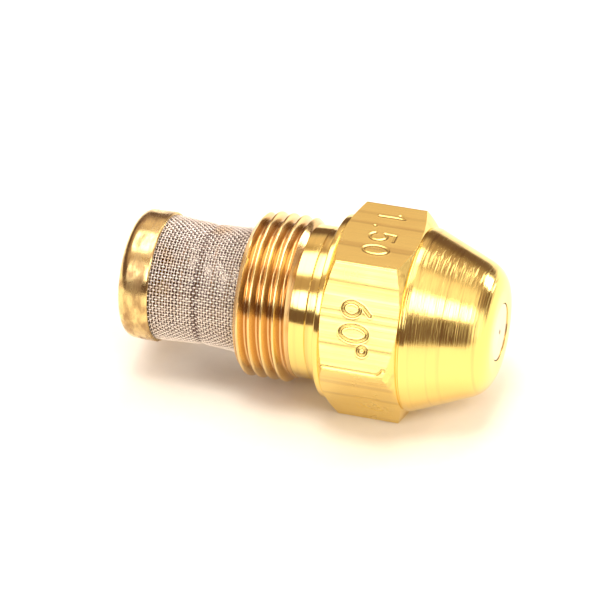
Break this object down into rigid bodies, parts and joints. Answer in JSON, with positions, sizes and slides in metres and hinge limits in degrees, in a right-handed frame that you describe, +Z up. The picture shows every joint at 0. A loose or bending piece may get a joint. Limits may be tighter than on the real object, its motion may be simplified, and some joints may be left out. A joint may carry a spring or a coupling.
{
  "type": "oil burner nozzle",
  "caption": "Hexagon oil burner nozzle with a conical nose, an orifice disc and swirl distributor inside, an external fine thread and a push-in wire cloth strainer behind.",
  "frame": {"origin": "centre of the bottom hexagon flat, which the nozzle lies on; its axis is half a hexagon above it", "axes": "+X along the nozzle's axis to the nose, +Z up, square to the bottom flat"},
  "size_m": [0.0324, 0.0184, 0.0159],
  "materials": {
    "turned_brass": "bright turned and milled",
    "screw_brass": "turned, oil dulled",
    "drawn_brass": "drawn, tarnished in patches",
    "wire_cloth": "fine woven wire",
    "bronze_wire": "drawn wire",
    "stainless": "ground"
  },
  "bodies": {
    "nozzle": {"nozzle_body": "turned_brass", "orifice_disc": "stainless"},
    "distributor": {"swirl_distributor": "stainless"},
    "retainer": {"retainer_screw": "screw_brass"},
    "strainer": {"strainer_ferrule": "screw_brass", "strainer_mesh": "wire_cloth", "strainer_support_coil": "bronze_wire", "strainer_end_cap": "drawn_brass"}
  },
  "joints": [
    {"name": "distributor_slide", "type": "slide", "parent": "nozzle", "child": "distributor", "axis": [-1, 0, 0], "range_m": [0, 0.00397]},
    {"name": "retainer_turn", "type": "hinge", "parent": "distributor", "child": "retainer", "pos_m": [0, 0, 0.00794], "axis": [-1, 0, 0], "range_deg": [0, 1800]},
    {"name": "strainer_pull", "type": "slide", "parent": "nozzle", "child": "strainer", "axis": [-1, 0, 0], "range_m": [0, 0.012]}
  ],
  "couplings": [
    {"joint": "retainer_turn", "follows": "distributor_slide", "rad_per_m": 7915.8}
  ]
}
